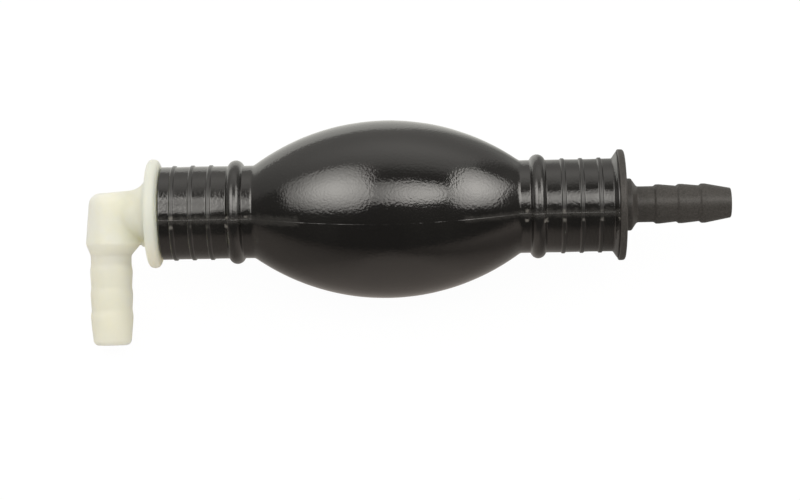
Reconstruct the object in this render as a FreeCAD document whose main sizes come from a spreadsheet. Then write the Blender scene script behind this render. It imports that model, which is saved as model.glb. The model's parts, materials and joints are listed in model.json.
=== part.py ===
import FreeCAD, Part
import math
import os
import re
import PartDesign
import Sketcher

# A hand primer for a fuel or water hose, lying on a table. The bulb's axis is X and the flow runs
# towards +X. Every piece is drawn about that axis with the inlet's hose tail along -Y, then all are
# turned together about X until the belly and the end of the hose tail both touch the table, z = 0.

# Driving sizes in millimetres: name, value, what it is.
driving_sizes = [
    ("belly_radius", 20.8, "outside of the belly at its middle"),
    ("belly_half", 31.0, "middle of the belly to where a neck begins"),
    ("belly_wall", 3.0, "rubber of the belly"),
    ("belly_blend", 1.2, "hollow where belly and neck meet"),
    ("neck_radius", 10.85, "outside of a neck"),
    ("neck_length", 21.9, "belly to the end of the neck"),
    ("neck_round", 0.5, "rounding of the neck's end"),
    ("throat_radius", 6.8, "opening between neck and belly"),
    ("bead_inset", 4.2, "belly to the middle of the fat bead"),
    ("bead_width", 3.6, "fat bead along the neck"),
    ("bead_rise", 1.3, "fat bead above the neck"),
    ("ring_inset", 3.3, "neck's end to the first thin ring"),
    ("ring_pitch", 4.3, "thin ring to thin ring"),
    ("ring_width", 1.3, "thin ring along the neck"),
    ("ring_rise", 0.28, "thin ring above the neck"),
    ("ring_count", 3, "thin rings on each neck"),
    ("spigot_radius", 7.6, "spigot between its barbs"),
    ("spigot_length", 17.9, "flange to the spigot's mouth"),
    ("spigot_barb", 0.5, "height of a spigot barb"),
    ("spigot_land", 0.8, "flat crest of a spigot barb"),
    ("spigot_ramp", 2.6, "slope of a spigot barb"),
    ("grip_gap", 0.02, "neck bore around the spigot"),
    ("chamber_radius", 5.6, "valve chamber in the spigot"),
    ("lip_height", 0.25, "snap lip that holds the valve in"),
    ("lip_length", 0.5, "snap lip along the chamber"),
    ("passage_radius", 2.95, "bore of the hose tails"),
    ("cross_radius", 2.4, "bore from the knee to the inlet valve"),
    ("bore_crown", 0.3, "tail's bore past the top of the cross bore"),
    ("flange_radius", 12.75, "inlet flange"),
    ("flange_rim", 2.3, "inlet flange at its rim"),
    ("flange_cone", 0.7, "slope of the inlet flange beside the neck"),
    ("flange_round", 1.1, "rounding of the inlet flange's rim"),
    ("collar_radius", 12.95, "outlet flange"),
    ("collar_rim", 1.5, "outlet flange at its rim"),
    ("collar_cone", 1.0, "slope of the outlet flange beside the neck"),
    ("collar_round", 0.6, "rounding of the outlet flange's rim"),
    ("hub_radius", 6.1, "hub beside the outlet flange"),
    ("hub_length", 1.6, "straight part of the hub"),
    ("hub_slope", 1.3, "hub's slope down to the hose tail"),
    ("knee_offset", 64.35, "middle of the belly to the knee's axis"),
    ("knee_radius", 6.45, "knee of the inlet elbow at its shoulder"),
    ("knee_draft", 1.0, "how much narrower the knee is below its top"),
    ("knee_crown", 5.1, "bulb's axis to the knee's top"),
    ("knee_round", 2.8, "rounding of the knee's top"),
    ("knee_drop", 6.9, "bulb's axis to the knee's shoulder"),
    ("knee_slope", 2.7, "shoulder's slope down to the hose tail"),
    ("tail_shift", 0.65, "knee's axis to the inlet tail's axis"),
    ("stub_foot", 6.1, "stub at the flange"),
    ("stub_end", 4.95, "stub at the knee's axis"),
    ("stub_blend", 2.5, "hollow between stub and flange"),
    ("inlet_reach", 30.8, "bulb's axis to the end of the inlet tail"),
    ("outlet_reach", 80.25, "middle of the belly to the end of the outlet tail"),
    ("inlet_crest", 4.95, "crest radius of the inlet tail's barbs"),
    ("inlet_barb", 0.2, "height of the inlet tail's barbs"),
    ("inlet_nose", 8.0, "last barb to the end of the inlet tail"),
    ("inlet_tip", 4.35, "radius of the inlet tail's end"),
    ("inlet_round", 1.3, "rounding of the inlet tail's end"),
    ("outlet_crest", 4.6, "crest radius of the outlet tail's barbs"),
    ("outlet_barb", 0.4, "height of the outlet tail's barbs"),
    ("outlet_nose", 7.25, "last barb to the end of the outlet tail"),
    ("outlet_tip", 3.45, "radius of the outlet tail's end"),
    ("outlet_round", 0.45, "rounding of the outlet tail's end"),
    ("tail_pitch", 5.3, "barb to barb on a hose tail"),
    ("tail_land", 1.2, "flat crest of a hose barb"),
    ("tail_barbs", 3, "barbs on a hose tail"),
    ("valve_gap", 0.05, "seat and cage in the valve chamber"),
    ("seat_length", 2.4, "valve seat ring"),
    ("seat_bore", 3.0, "opening of the valve seat"),
    ("seat_lip", 0.4, "height of the seat's sealing lip"),
    ("seat_lip_inner", 3.3, "inside of the sealing lip"),
    ("seat_lip_outer", 3.9, "outside of the sealing lip"),
    ("seal_radius", 4.15, "rubber washer on the poppet"),
    ("seal_length", 1.0, "thickness of the washer"),
    ("button_radius", 1.8, "button that holds the washer"),
    ("button_length", 0.8, "thickness of the button"),
    ("pin_radius", 1.0, "stem of the poppet"),
    ("pin_overrun", 0.3, "stem past the cage when shut"),
    ("head_radius", 4.2, "poppet head"),
    ("head_length", 1.2, "thickness of the poppet head"),
    ("boss_radius", 1.8, "boss inside the spring"),
    ("boss_length", 0.8, "length of the boss"),
    ("valve_lift", 2.0, "travel of the poppet"),
    ("stop_gap", 0.1, "boss to the guide at full lift"),
    ("guide_gap", 0.15, "stem in the cage's guide"),
    ("guide_radius", 1.85, "outside of the guide"),
    ("spring_length", 6.0, "spring as fitted"),
    ("spring_mean", 2.4, "radius of the coil's centre line"),
    ("wire_radius", 0.22, "spring wire"),
    ("spring_turns", 5, "turns of the spring"),
    ("closed_pitch", 0.55, "pitch of the first and last turn"),
    ("cage_plate", 1.6, "end plate of the cage"),
    ("cage_wall", 0.65, "legs and ring of the cage"),
    ("cage_ring", 1.0, "ring at the foot of the cage"),
    ("window_inner", 3.4, "hub of the cage to its windows"),
    ("window_angle", 30, "half of a window, in degrees"),
    ("window_count", 4, "windows in the cage"),
    ("plenum_step", 0.75, "ledge that carries the outlet cage"),
    ("plenum_length", 2.2, "cone behind the outlet cage"),
]

doc = FreeCAD.newDocument("SiphonBulbPump")
sheet = doc.addObject("Spreadsheet::Sheet", "Sizes")
for row, (alias, value, meaning) in enumerate(driving_sizes, 1):
    sheet.set(f"A{row}", alias)
    sheet.set(f"B{row}", str(value))
    sheet.set(f"C{row}", meaning)
    sheet.setAlias(f"B{row}", alias)
doc.recompute()


def bound(formula):
    # Sizes are written by name alone: each name has an underscore, so it can be told from a function.
    return re.sub(r"\b[a-z]+(?:_[a-z]+)+\b", r"Sizes.\g<0>", formula)


def worth(formula):
    return float(sheet.evalExpression(bound(formula)))


# Lengths that follow from the driving sizes.
neck_end = "(belly_half + neck_length)"
spigot_mouth = f"({neck_end} - spigot_length)"
belly_drop = "(belly_radius - neck_radius)"
belly_arc = f"((belly_half ^ 2 + {belly_drop} ^ 2) / (2 * {belly_drop}))"
cavity_arc = f"({belly_arc} - belly_wall)"
cavity_rise = f"(throat_radius + {belly_arc} - belly_radius)"
cavity_half = f"sqrt({cavity_arc} ^ 2 - {cavity_rise} ^ 2)"
seal_start = "(seat_length + seat_lip)"
head_start = f"({seal_start} + seal_length)"
boss_start = f"({head_start} + head_length)"
cage_start = f"({boss_start} + spring_length)"
valve_length = f"({cage_start} + cage_plate)"
outlet_valve_start = f"({spigot_mouth} + lip_length)"
valve_shoulder = f"({outlet_valve_start} + {valve_length})"
inlet_valve_start = f"(-{valve_shoulder})"
tail_axis = "(-knee_offset - tail_shift)"

# How far the pieces are turned about X, and where the middle of the belly then lies.
tail_run = "(inlet_reach - inlet_round)"
tail_side = "(inlet_tip - inlet_round)"
tail_slant = f"sqrt({tail_run} ^ 2 + {tail_side} ^ 2)"
lean = f"(asin((belly_radius - inlet_round) / {tail_slant}) - atan({tail_side} / {tail_run}))"
tail_front = f"({tail_run} * cos({lean}) + {tail_side} * sin({lean}) + inlet_round)"
middle_x = "((knee_offset + knee_radius - outlet_reach) / 2)"
middle_y = f"(({tail_front} - belly_radius) / 2)"


def place(piece, along="0"):
    piece.Placement.Rotation = FreeCAD.Rotation(FreeCAD.Vector(1, 0, 0), 1)
    piece.setExpression("Placement.Rotation.Angle", bound(lean))
    piece.setExpression("Placement.Base.x", bound(f"{middle_x} + {along}"))
    piece.setExpression("Placement.Base.y", bound(middle_y))
    piece.setExpression("Placement.Base.z", bound("belly_radius"))


def new_body(name, along="0"):
    body = doc.addObject("PartDesign::Body", name)
    body.Label = name
    place(body, along)
    return body


def origin_plane(body, role):
    return next(item for item in body.Origin.OriginFeatures if item.Role == role)


def arc_between(start, finish, radius):
    # The arc from start to finish bulges to the left of the way, or to the right if radius is negative.
    chord = finish - start
    rise = abs(radius) - math.sqrt(max(radius ** 2 - chord.Length ** 2 / 4, 0))
    left = FreeCAD.Vector(-chord.y, chord.x, 0).normalize()
    middle = (start + finish) * 0.5 + left * math.copysign(rise, radius)
    return Part.Arc(start, middle, finish)


def outline(body, name, points, role="XY_Plane", offset="0", spin_x=None):
    # Each point is two formulas, and a third one makes the edge that arrives there an arc.
    sketch = body.newObject("Sketcher::SketchObject", name)
    sketch.AttachmentSupport = [(origin_plane(body, role), "")]
    sketch.MapMode = "FlatFace"
    sketch.setExpression("AttachmentOffset.Base.z", bound(offset))
    places = [FreeCAD.Vector(worth(point[0]), worth(point[1]), 0) for point in points]
    count = len(points)
    ends = []
    for edge in range(count):
        start, finish = places[edge], places[(edge + 1) % count]
        arrival = points[(edge + 1) % count]
        if len(arrival) == 3:
            sketch.addGeometry(arc_between(start, finish, worth(arrival[2])), False)
        else:
            sketch.addGeometry(Part.LineSegment(start, finish), False)
        forward = sketch.getPoint(edge, 1).isEqual(start, 1e-6)
        ends.append((1, 2) if forward else (2, 1))
    for edge in range(count):
        following = (edge + 1) % count
        sketch.addConstraint(
            Sketcher.Constraint("Coincident", edge, ends[edge][1], following, ends[following][0]))
        for kind, formula, size in (("DistanceX", points[edge][0], places[edge].x),
                                    ("DistanceY", points[edge][1], places[edge].y)):
            number = sketch.addConstraint(
                Sketcher.Constraint(kind, -1, 1, edge, ends[edge][0], size))
            sketch.setExpression(f"Constraints[{number}]", bound(formula))
        if len(points[following]) == 3:
            radius = points[following][2]
            number = sketch.addConstraint(Sketcher.Constraint("Radius", edge, abs(worth(radius))))
            sketch.setExpression(f"Constraints[{number}]", bound(f"abs({radius})"))
    if spin_x is not None:
        across = worth(spin_x)
        line = sketch.addGeometry(
            Part.LineSegment(FreeCAD.Vector(across, -1, 0), FreeCAD.Vector(across, 1, 0)), True)
        for end, height in ((1, -1), (2, 1)):
            number = sketch.addConstraint(Sketcher.Constraint("DistanceX", -1, 1, line, end, across))
            sketch.setExpression(f"Constraints[{number}]", bound(spin_x))
            sketch.addConstraint(Sketcher.Constraint("DistanceY", -1, 1, line, end, height))
    return sketch


def spin(body, name, points, cut=False, spin_x=None):
    # Turns an outline about X, or about the line x = spin_x, to add a round form or to bore one out.
    before = body.Shape.Volume if cut else 0
    sketch = outline(body, name + "Outline", points, spin_x=spin_x)
    feature = body.newObject("PartDesign::Groove" if cut else "PartDesign::Revolution", name)
    feature.Profile = sketch
    feature.ReferenceAxis = (sketch, ["H_Axis" if spin_x is None else "Axis0"])
    feature.Angle = 360
    doc.recompute()
    if cut and not 0 < body.Shape.Volume < before - 1:
        raise RuntimeError(f"{name} cuts nothing from {body.Label}")
    return feature


def soften(body, name, radius, rings):
    # Rounds the circular edges about X that lie at the given distances along it and from it.
    wanted = [(worth(along), worth(out)) for along, out in rings]
    edges = []
    for number, edge in enumerate(body.Shape.Edges, 1):
        if isinstance(edge.Curve, Part.Circle) and abs(edge.Curve.Axis.x) > 0.99:
            centre = body.Placement.inverse().multVec(edge.Curve.Center)
            if any(abs(centre.x - x) < 1e-4 and abs(edge.Curve.Radius - r) < 1e-4 for x, r in wanted):
                edges.append(f"Edge{number}")
    if len(edges) < len(rings):
        raise RuntimeError(f"{name} finds {len(edges)} of {len(rings)} edges")
    fillet = body.newObject("PartDesign::Fillet", name)
    fillet.Base = (fillet.BaseFeature, edges)
    fillet.setExpression("Radius", bound(radius))
    doc.recompute()
    return fillet


def raised_ring(body, name, along, width, rise):
    foot = "(neck_radius - ring_rise)"
    arc = f"(({width} ^ 2 / 4 + {rise} ^ 2) / (2 * {rise}))"
    return spin(body, name, [
        (f"{along} - {width} / 2", foot),
        (f"{along} - {width} / 2", "neck_radius"),
        (f"{along} + {width} / 2", "neck_radius", arc),
        (f"{along} + {width} / 2", foot),
    ])


def spigot_edge(side, grown):
    # The outside of a spigot from its flange to its mouth, at the inlet (-1) or the outlet (1). Its
    # barbs sit under the neck's thin rings, and their steep faces look towards the flange.
    root = f"(spigot_radius + {grown})"
    points = [(f"{side} * {neck_end}", root)]
    for barb in range(int(worth("ring_count"))):
        crest = f"({neck_end} - ring_inset - {barb} * ring_pitch)"
        points += [
            (f"{side} * ({crest} + spigot_land / 2)", root),
            (f"{side} * ({crest} + spigot_land / 2)", f"{root} + spigot_barb"),
            (f"{side} * ({crest} - spigot_land / 2)", f"{root} + spigot_barb"),
            (f"{side} * ({crest} - spigot_land / 2 - spigot_ramp)", root),
        ]
    points.append((f"{side} * {spigot_mouth}", root))
    return points


def tail_edge(end, way):
    # The outside of a hose tail from its first barb to its end, measured along the tail.
    points = []
    last = int(worth("tail_barbs")) - 1
    for number in range(last + 1):
        step = f"({end}_reach - {end}_nose - {last - number} * tail_pitch)"
        points += [
            (f"{way} * {step}", f"({end}_crest - {end}_barb)"),
            (f"{way} * {step}", f"{end}_crest"),
            (f"{way} * ({step} + tail_land)", f"{end}_crest"),
        ]
    points += [
        (f"{way} * ({end}_reach - {end}_round)", f"{end}_tip"),
        (f"{way} * {end}_reach", f"({end}_tip - {end}_round)", f"{end}_round"),
    ]
    return points


def make_bulb():
    body = new_body("bulb")
    spin(body, "Skin", [
        (f"-{neck_end}", "0"),
        (f"-{neck_end}", "neck_radius"),
        ("-belly_half", "neck_radius"),
        ("belly_half", "neck_radius", belly_arc),
        (neck_end, "neck_radius"),
        (neck_end, "0"),
    ])
    soften(body, "BellyBlend", "belly_blend",
           [("-belly_half", "neck_radius"), ("belly_half", "neck_radius")])
    soften(body, "NeckRound", "neck_round",
           [(f"-{neck_end}", "neck_radius"), (neck_end, "neck_radius")])
    for side, end in ((-1, "Inlet"), (1, "Outlet")):
        raised_ring(body, f"{end}Bead", f"{side} * (belly_half + bead_inset)", "bead_width",
                    "bead_rise")
        for number in range(int(worth("ring_count"))):
            raised_ring(body, f"{end}Ring{number + 1}",
                        f"{side} * ({neck_end} - ring_inset - {number} * ring_pitch)",
                        "ring_width", "ring_rise")
    left = spigot_edge(-1, "grip_gap")
    right = spigot_edge(1, "grip_gap")
    spin(body, "Bore", [(f"-{neck_end}", "0")] + left + [
        (f"-{spigot_mouth}", "throat_radius"),
        (f"-{cavity_half}", "throat_radius"),
        (cavity_half, "throat_radius", cavity_arc),
        (spigot_mouth, "throat_radius"),
    ] + right[::-1] + [(neck_end, "0")], cut=True)
    return body


def chamber_edge(side):
    # The inside of a spigot from its mouth to the shoulder behind the valve.
    return [
        (f"{side} * {spigot_mouth}", "0"),
        (f"{side} * {spigot_mouth}", "(chamber_radius - lip_height)"),
        (f"{side} * ({spigot_mouth} + lip_length)", "(chamber_radius - lip_height)"),
        (f"{side} * ({spigot_mouth} + lip_length)", "chamber_radius"),
        (f"{side} * {valve_shoulder}", "chamber_radius"),
    ]


def flip_arcs(points):
    # An outline that is drawn the other way round bulges its arcs to the other side.
    return [point if len(point) == 2 else (point[0], point[1], f"-{point[2]}") for point in points]


def round_section(body, name, drop, middle, radius):
    # A circle across the inlet tail, the given distance below the bulb's axis.
    sketch = body.newObject("Sketcher::SketchObject", name)
    sketch.AttachmentSupport = [(origin_plane(body, "XZ_Plane"), "")]
    sketch.MapMode = "FlatFace"
    sketch.setExpression("AttachmentOffset.Base.z", bound(drop))
    centre = FreeCAD.Vector(worth(middle), 0, 0)
    circle = sketch.addGeometry(Part.Circle(centre, FreeCAD.Vector(0, 0, 1), worth(radius)), False)
    sketch.addConstraint(Sketcher.Constraint("PointOnObject", circle, 3, -1))
    number = sketch.addConstraint(Sketcher.Constraint("DistanceX", -1, 1, circle, 3, centre.x))
    sketch.setExpression(f"Constraints[{number}]", bound(middle))
    number = sketch.addConstraint(Sketcher.Constraint("Radius", circle, worth(radius)))
    sketch.setExpression(f"Constraints[{number}]", bound(radius))
    return sketch


def make_inlet_elbow():
    body = new_body("inlet_elbow")
    face = f"({neck_end} + flange_cone + flange_rim)"
    spin(body, "FlangeAndSpigot", [
        ("-knee_offset", "0"),
        ("-knee_offset", "stub_end"),
        (f"-{face}", "stub_foot"),
        (f"-{face}", "flange_radius"),
        (f"-({neck_end} + flange_cone)", "flange_radius"),
        (f"-{neck_end}", "neck_radius"),
    ] + spigot_edge(-1, "0") + [(f"-{spigot_mouth}", "0")])
    soften(body, "FlangeRound", "flange_round",
           [(f"-{face}", "flange_radius"), (f"-({neck_end} + flange_cone)", "flange_radius")])
    soften(body, "StubBlend", "stub_blend", [(f"-{face}", "stub_foot")])

    crown = "(knee_radius - knee_draft)"
    spin(body, "Knee", [
        ("-knee_offset", "-knee_drop"),
        ("-knee_offset", "knee_crown"),
        (f"(-knee_offset - {crown} + knee_round)", "knee_crown"),
        (f"(-knee_offset - {crown})", "(knee_crown - knee_round)", "-knee_round"),
        ("(-knee_offset - knee_radius)", "-knee_drop"),
    ], spin_x="-knee_offset")
    foot = "(knee_drop + knee_slope)"
    root = "(inlet_crest - inlet_barb)"
    shoulder = [round_section(body, "ShoulderTop", "knee_drop", "-knee_offset", "knee_radius"),
                round_section(body, "ShoulderFoot", foot, tail_axis, root)]
    loft = body.newObject("PartDesign::AdditiveLoft", "Shoulder")
    loft.Profile = shoulder[0]
    loft.Sections = [shoulder[1]]
    loft.Ruled = True
    doc.recompute()

    tail = [(f"({tail_axis} - {point[1]})", point[0]) + tuple(point[2:])
            for point in tail_edge("inlet", -1)]
    spin(body, "Tail", flip_arcs([
        (tail_axis, f"-{foot}"),
        (f"({tail_axis} - {root})", f"-{foot}"),
    ] + tail + [(tail_axis, "-inlet_reach")]), spin_x=tail_axis)

    spin(body, "Chamber", chamber_edge(-1) + [
        (f"-{valve_shoulder}", "cross_radius"),
        (tail_axis, "cross_radius"),
        (tail_axis, "0"),
    ], cut=True)
    spin(body, "TailBore", [
        (tail_axis, "(cross_radius + bore_crown)"),
        (f"({tail_axis} - passage_radius)", "(cross_radius + bore_crown)"),
        (f"({tail_axis} - passage_radius)", "-inlet_reach"),
        (tail_axis, "-inlet_reach"),
    ], cut=True, spin_x=tail_axis)
    return body


def make_outlet_fitting():
    body = new_body("outlet_fitting")
    face = f"({neck_end} + collar_cone + collar_rim)"
    spin(body, "FlangeAndTail", [(spigot_mouth, "0")] + spigot_edge(1, "0")[::-1] + [
        (neck_end, "neck_radius"),
        (f"{neck_end} + collar_cone", "collar_radius"),
        (face, "collar_radius"),
        (face, "hub_radius"),
        (f"{face} + hub_length", "hub_radius"),
        (f"{face} + hub_length + hub_slope", "(outlet_crest - outlet_barb)"),
    ] + tail_edge("outlet", 1) + [("outlet_reach", "0")])
    soften(body, "FlangeRound", "collar_round",
           [(face, "collar_radius"), (f"{neck_end} + collar_cone", "collar_radius")])
    spin(body, "Chamber", chamber_edge(1) + [
        (valve_shoulder, "(chamber_radius - plenum_step)"),
        (f"{valve_shoulder} + plenum_length", "passage_radius"),
        ("outlet_reach", "passage_radius"),
        ("outlet_reach", "0"),
    ], cut=True)
    return body


# Each valve piece is drawn from the upstream face of the valve seat, x = 0.


def make_seat(name, along):
    body = new_body(name, along)
    spin(body, "Ring", [
        ("0", "seat_bore"),
        ("0", "chamber_radius - valve_gap"),
        ("seat_length", "chamber_radius - valve_gap"),
        ("seat_length", "seat_lip_outer"),
        (seal_start, "seat_lip_outer"),
        (seal_start, "seat_lip_inner"),
        ("seat_length", "seat_bore"),
    ])
    return body


def make_poppet(name, along):
    body = new_body(name, along)
    tip = f"({valve_length} + pin_overrun)"
    spin(body, "Mushroom", [
        (f"{seal_start} - button_length", "0"),
        (f"{seal_start} - button_length", "button_radius"),
        (seal_start, "button_radius"),
        (seal_start, "pin_radius"),
        (head_start, "pin_radius"),
        (head_start, "head_radius"),
        (boss_start, "head_radius"),
        (boss_start, "boss_radius"),
        (f"{boss_start} + boss_length", "boss_radius"),
        (f"{boss_start} + boss_length", "pin_radius"),
        (tip, "pin_radius"),
        (tip, "0"),
    ])
    return body


def make_seal(name, along):
    body = new_body(name, along)
    spin(body, "Washer", [
        (seal_start, "pin_radius"),
        (seal_start, "seal_radius"),
        (head_start, "seal_radius"),
        (head_start, "pin_radius"),
    ])
    return body


def make_cage(name, along):
    body = new_body(name, along)
    skirt = "(chamber_radius - valve_gap)"
    bore = "(pin_radius + guide_gap)"
    guide_start = f"({boss_start} + boss_length + valve_lift + stop_gap)"
    spin(body, "Cup", [
        (valve_length, bore),
        (guide_start, bore),
        (guide_start, "guide_radius"),
        (cage_start, "guide_radius"),
        (cage_start, f"{skirt} - cage_wall"),
        ("seat_length", f"{skirt} - cage_wall"),
        ("seat_length", skirt),
        (valve_length, skirt),
    ])
    before = body.Shape.Volume
    window = outline(body, "WindowOutline", [
        (f"{reach} * cos(window_angle)", f"{side} * {reach} * sin(window_angle)")
        for reach, side in (("window_inner", -1), ("chamber_radius * 1.3", -1),
                            ("chamber_radius * 1.3", 1), ("window_inner", 1))
    ], role="YZ_Plane", offset=valve_length)
    pocket = body.newObject("PartDesign::Pocket", "Window")
    pocket.Profile = window
    pocket.setExpression("Length", bound(f"{valve_length} - seat_length - cage_ring"))
    doc.recompute()
    windows = body.newObject("PartDesign::PolarPattern", "Windows")
    windows.Originals = [pocket]
    windows.Axis = (window, ["N_Axis"])
    windows.Angle = 360
    windows.setExpression("Occurrences", bound("window_count"))
    body.Tip = windows
    doc.recompute()
    if not 0 < body.Shape.Volume < before - 1:
        raise RuntimeError(f"the windows cut nothing from {name}")
    return body


def coil_point(turn):
    # The centre line of the wire: one closed turn at each end and open turns between them.
    turns = worth("spring_turns")
    closed = worth("closed_pitch")
    rise = worth("spring_length - 2 * wire_radius")
    open_pitch = (rise - 2 * closed) / (turns - 2)
    climb = (closed * min(turn, 1)
             + open_pitch * min(max(turn - 1, 0), turns - 2)
             + closed * max(turn - turns + 1, 0))
    angle = 2 * math.pi * turn
    mean = worth("spring_mean")
    start = worth(f"{boss_start} + wire_radius")
    return FreeCAD.Vector(start + climb, mean * math.cos(angle), mean * math.sin(angle))


def two_arcs(start, start_way, finish, finish_way):
    # Two arcs that leave start and reach finish along the given ways and share a way where they meet.
    gap = finish - start
    both = gap.dot(start_way + finish_way)
    turn = 2 * (1 - start_way.dot(finish_way))
    reach = (math.sqrt(both ** 2 + turn * gap.dot(gap)) - both) / turn
    corners = (start + start_way * reach, finish - finish_way * reach)
    joint = (corners[0] + corners[1]) * 0.5
    edges = []
    for first, corner, last in ((start, corners[0], joint), (joint, corners[1], finish)):
        weight = (last - first).Length / (2 * (corner - first).Length)
        middle = (first + corner * (2 * weight) + last) * (1 / (2 + 2 * weight))
        edges.append(Part.Arc(first, middle, last).toShape())
    return edges


def make_spring(name, along):
    steps = 4 * int(worth("spring_turns"))
    points = [coil_point(step / 4) for step in range(steps + 1)]
    ways = []
    for step in range(steps + 1):
        before, after = coil_point(max(step / 4 - 0.01, 0)), coil_point(min(step / 4 + 0.01, steps / 4))
        ways.append((after - before).normalize())
    edges = []
    for step in range(steps):
        edges += two_arcs(points[step], ways[step], points[step + 1], ways[step + 1])
    route = Part.Wire(edges)
    section = Part.Wire(Part.makeCircle(worth("wire_radius"), points[0], ways[0]))
    pipe = Part.BRepOffsetAPI.MakePipeShell(route)
    pipe.add(section)
    pipe.build()
    pipe.makeSolid()
    spring = doc.addObject("Part::Feature", name)
    spring.Label = name
    spring.Shape = Part.Solid(pipe.shape())
    place(spring, along)
    return spring


pieces = [make_bulb(), make_inlet_elbow(), make_outlet_fitting()]
for end, along in (("inlet", inlet_valve_start), ("outlet", outlet_valve_start)):
    pieces += [
        make_seat(f"{end}_valve_seat", along),
        make_poppet(f"{end}_valve_poppet", along),
        make_seal(f"{end}_poppet_seal", along),
        make_spring(f"{end}_valve_spring", along),
        make_cage(f"{end}_valve_cage", along),
    ]
doc.recompute()

for item in doc.Objects:
    if "Invalid" in item.State or "Error" in item.State:
        raise RuntimeError(f"{item.Label} did not compute: {item.State}")
for piece in pieces:
    if piece.Shape.isNull() or not piece.Shape.isValid() or len(piece.Shape.Solids) != 1:
        raise RuntimeError(f"{piece.Label} is not one valid solid")

os.makedirs("parts", exist_ok=True)
for piece in pieces:
    piece.Shape.exportStep(f"parts/{piece.Label}.step")
    print(f"{piece.Label}: {piece.Shape.Volume:.1f} mm3")
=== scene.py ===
import json
import math

import bpy
import numpy as np
from mathutils import Matrix, Vector


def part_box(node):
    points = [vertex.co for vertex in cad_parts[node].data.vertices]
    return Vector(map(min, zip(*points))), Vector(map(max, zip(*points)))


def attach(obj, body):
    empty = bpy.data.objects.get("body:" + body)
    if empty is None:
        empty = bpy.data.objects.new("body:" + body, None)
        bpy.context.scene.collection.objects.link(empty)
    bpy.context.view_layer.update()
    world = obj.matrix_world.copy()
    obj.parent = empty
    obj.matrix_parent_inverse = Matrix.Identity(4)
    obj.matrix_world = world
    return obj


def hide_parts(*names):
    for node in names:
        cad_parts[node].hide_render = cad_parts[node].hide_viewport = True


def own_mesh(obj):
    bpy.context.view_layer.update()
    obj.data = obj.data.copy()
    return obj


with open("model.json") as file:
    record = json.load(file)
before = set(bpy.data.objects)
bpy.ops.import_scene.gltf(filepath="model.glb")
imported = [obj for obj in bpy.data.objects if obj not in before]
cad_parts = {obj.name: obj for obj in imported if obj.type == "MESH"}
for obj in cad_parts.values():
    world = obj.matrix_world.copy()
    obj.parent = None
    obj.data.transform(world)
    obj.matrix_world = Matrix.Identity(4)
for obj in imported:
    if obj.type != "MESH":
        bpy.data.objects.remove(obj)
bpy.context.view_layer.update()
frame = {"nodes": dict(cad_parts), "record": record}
print("frame loaded")

# Pieces are drawn in millimetres about the bulb's own axis: X along the bulb, the elbow's tail
# along -Y. The pump then leans about X until the tail's end rests on the table.
mounts = {mount["name"]: mount for mount in frame["record"]["mounts"]}
tailWay = Vector(mounts["inlet_hose_tail"]["axis"])
lean = math.atan2(-tailWay.z, -tailWay.y)
bulbLow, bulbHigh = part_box("bulb")
bulbMiddle = (bulbLow + bulbHigh) / 2
millimetre = 0.001
pumpPlace = (Matrix.Translation(bulbMiddle) @ Matrix.Rotation(lean, 4, "X")
             @ Matrix.Scale(millimetre, 4))


# Small helpers for node trees.

def plug(tree, socket, value):
    if isinstance(value, Wire):
        value = value.socket
    if isinstance(value, bpy.types.NodeSocket):
        tree.links.new(value, socket)
    else:
        socket.default_value = value


class Wire:
    # a node's output that can be written in sums
    def __init__(self, tree, socket):
        self.tree = tree
        self.socket = socket

    def calc(self, operation, *others):
        node = self.tree.nodes.new("ShaderNodeMath")
        node.operation = operation
        for socket, value in zip(node.inputs, (self,) + others):
            plug(self.tree, socket, value)
        return Wire(self.tree, node.outputs[0])

    def __add__(self, other):
        return self.calc("ADD", other)

    def __sub__(self, other):
        return self.calc("SUBTRACT", other)

    def __mul__(self, other):
        return self.calc("MULTIPLY", other)

    def __truediv__(self, other):
        return self.calc("DIVIDE", other)

    def __neg__(self):
        return self.calc("MULTIPLY", -1)

    def over(self, other):
        return self.calc("MAXIMUM", other)

    def under(self, other):
        return self.calc("MINIMUM", other)

    def root(self):
        return self.calc("MAXIMUM", 0).calc("SQRT")

    def size(self):
        return self.calc("ABSOLUTE")

    def ramp(self, start, end, low=0, high=1, smooth=False):
        node = self.tree.nodes.new("ShaderNodeMapRange")
        node.interpolation_type = "SMOOTHSTEP" if smooth else "LINEAR"
        for name, value in (("Value", self), ("From Min", start), ("From Max", end),
                            ("To Min", low), ("To Max", high)):
            plug(self.tree, node.inputs[name], value)
        return Wire(self.tree, node.outputs["Result"])


def addNode(tree, kind, inputs=(), **settings):
    node = tree.nodes.new(kind)
    for name, value in settings.items():
        setattr(node, name, value)
    for name, value in dict(inputs).items():
        plug(tree, node.inputs[name], value)
    return node


def newGeometryTree(name, sizes):
    # a tree with one named input for each size, and its wires by name
    tree = bpy.data.node_groups.new(name, "GeometryNodeTree")
    tree.interface.new_socket("Geometry", in_out="OUTPUT", socket_type="NodeSocketGeometry")
    tree.interface.new_socket("Geometry", in_out="INPUT", socket_type="NodeSocketGeometry")
    for label in sizes:
        kind = "NodeSocketInt" if isinstance(sizes[label], int) else "NodeSocketFloat"
        tree.interface.new_socket(label, in_out="INPUT", socket_type=kind)
    tree.interface.new_socket("Material", in_out="INPUT", socket_type="NodeSocketMaterial")
    group = tree.nodes.new("NodeGroupInput")
    return tree, {label: Wire(tree, group.outputs[label]) for label in [*sizes, "Material"]}


def finishTree(tree, geometry, wires):
    realized = addNode(tree, "GeometryNodeRealizeInstances", {"Geometry": geometry})
    painted = addNode(tree, "GeometryNodeSetMaterial",
                      {"Geometry": realized.outputs[0], "Material": wires["Material"]})
    addNode(tree, "NodeGroupOutput", {"Geometry": painted.outputs[0]})


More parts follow.
